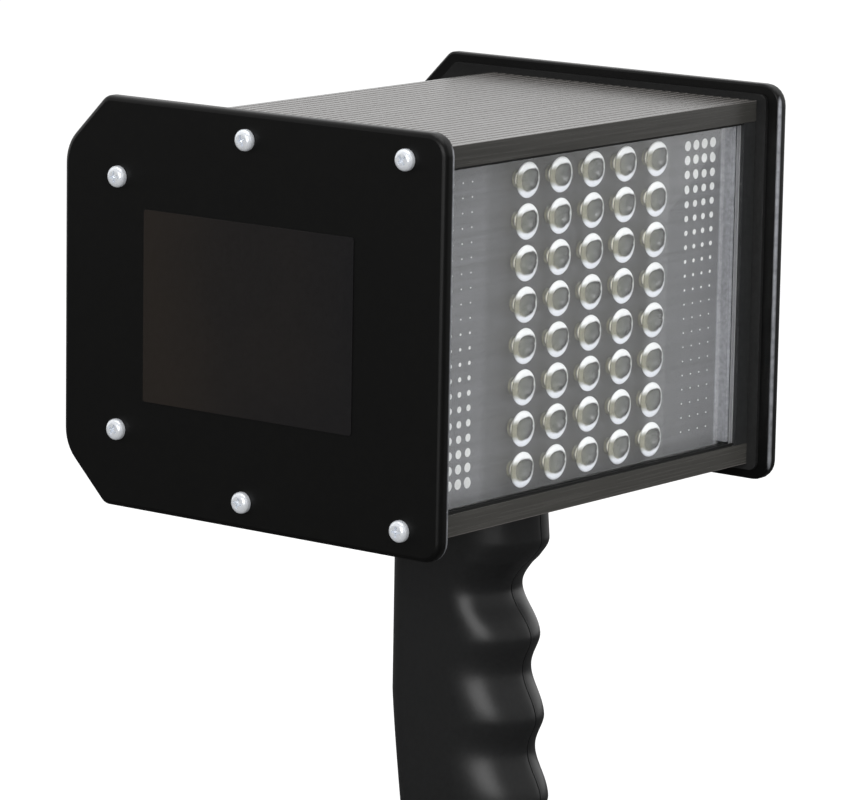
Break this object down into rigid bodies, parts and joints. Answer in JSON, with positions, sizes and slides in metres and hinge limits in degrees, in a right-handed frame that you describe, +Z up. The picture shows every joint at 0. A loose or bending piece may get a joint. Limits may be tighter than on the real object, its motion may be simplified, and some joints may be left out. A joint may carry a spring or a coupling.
{
  "type": "led stroboscope",
  "caption": "Hand-held LED stroboscope: ribbed box body between black end plates, clear front window over a grid of LED lenses, rear control panel, pistol grip with finger grooves.",
  "frame": {"origin": "mouth of the tripod bush, in the foot of the grip", "axes": "+Z up along the grip, the window faces -Y, +X along the body"},
  "size_m": [0.1624, 0.1344, 0.2295],
  "materials": {
    "ribbed_aluminium": "dark grey anodised, fine-ribbed",
    "black_plate": "satin black powder coat",
    "cap_plastic": "fine matt moulded",
    "bright_screw": "bright nickel plate",
    "clear_pane": "clear acrylic sheet",
    "black_rubber": "matt",
    "grey_face": "brushed grey with white print",
    "clear_lens": "clear moulded acrylic",
    "emitter": "yellow phosphor under a clear dome",
    "white_board": "white solder mask",
    "green_board": "green solder mask",
    "plain_aluminium": "mill finish",
    "panel_black": "fine-textured black",
    "display_red": "tinted acrylic",
    "dark_plastic": "moulded",
    "button_grey": "fine matt moulded",
    "knob_black": "satin moulded",
    "steel": "zinc plated",
    "capacitor_sleeve": "shrink sleeve",
    "copper_winding": "enamelled wire and tape",
    "brass": "turned",
    "grey_cable": "ribbon insulation",
    "red_lead": "wire insulation",
    "brown_lead": "wire insulation",
    "grip_black": "satin moulded"
  },
  "bodies": {
    "stroboscope": {"upper_extrusion": "ribbed_aluminium", "lower_extrusion": "ribbed_aluminium", "left_end_cap": "cap_plastic", "right_end_cap": "cap_plastic", "left_end_plate": "black_plate", "right_end_plate": "black_plate", "end_plate_screws": "bright_screw", "window_pane": "clear_pane", "window_seals": "black_rubber", "face_plate": "grey_face", "collimator_lenses": "clear_lens", "led_emitters": "emitter", "led_board": "white_board", "led_board_screws": "steel", "heat_spreader": "plain_aluminium", "rear_panel": "panel_black", "display_window": "display_red", "display_module": "dark_plastic", "control_board": "green_board", "control_board_spacers": "brass", "button_switches": "dark_plastic", "encoder_body": "steel", "encoder_nut": "steel", "power_switch_body": "dark_plastic", "inlet_body": "dark_plastic", "inlet_pins": "steel", "trigger_input_jack": "dark_plastic", "trigger_output_jack": "dark_plastic", "jack_nuts": "steel", "driver_board": "green_board", "driver_capacitors": "capacitor_sleeve", "driver_inductors": "copper_winding", "driver_transistors": "dark_plastic", "supply_board": "green_board", "supply_transformer": "copper_winding", "supply_capacitor": "capacitor_sleeve", "supply_choke": "copper_winding", "supply_heat_sink": "plain_aluminium", "board_standoffs": "brass", "board_screws": "steel", "ribbon_cable": "grey_cable", "led_leads": "red_lead", "mains_leads": "brown_lead", "left_grip_shell": "grip_black", "right_grip_shell": "grip_black", "grip_core": "plain_aluminium", "grip_bolts": "steel", "grip_screws": "steel", "grip_foot": "grip_black", "tripod_bush": "brass"},
    "tuning_knob": {"tuning_knob": "knob_black", "encoder_shaft": "steel"},
    "power_rocker": {"power_rocker": "dark_plastic"},
    "halve_button": {"halve_button": "button_grey"},
    "double_button": {"double_button": "button_grey"},
    "phase_button": {"phase_button": "button_grey"},
    "memory_button": {"memory_button": "button_grey"},
    "external_button": {"external_button": "button_grey"}
  },
  "joints": [
    {"name": "knob_turn", "type": "hinge", "parent": "stroboscope", "child": "tuning_knob", "pos_m": [0.048, 0.08, 0.184], "axis": [0, 1, 0], "continuous": true},
    {"name": "rocker_tilt", "type": "hinge", "parent": "stroboscope", "child": "power_rocker", "pos_m": [0.044, 0.073, 0.151], "axis": [0, 0, 1], "range_deg": [0, 20]},
    {"name": "halve_press", "type": "slide", "parent": "stroboscope", "child": "halve_button", "axis": [0, -1, 0], "range_m": [0, 0.001], "stiffness_N_per_m": 2000},
    {"name": "double_press", "type": "slide", "parent": "stroboscope", "child": "double_button", "axis": [0, -1, 0], "range_m": [0, 0.001], "stiffness_N_per_m": 2000},
    {"name": "phase_press", "type": "slide", "parent": "stroboscope", "child": "phase_button", "axis": [0, -1, 0], "range_m": [0, 0.001], "stiffness_N_per_m": 2000},
    {"name": "memory_press", "type": "slide", "parent": "stroboscope", "child": "memory_button", "axis": [0, -1, 0], "range_m": [0, 0.001], "stiffness_N_per_m": 2000},
    {"name": "external_press", "type": "slide", "parent": "stroboscope", "child": "external_button", "axis": [0, -1, 0], "range_m": [0, 0.001], "stiffness_N_per_m": 2000}
  ]
}
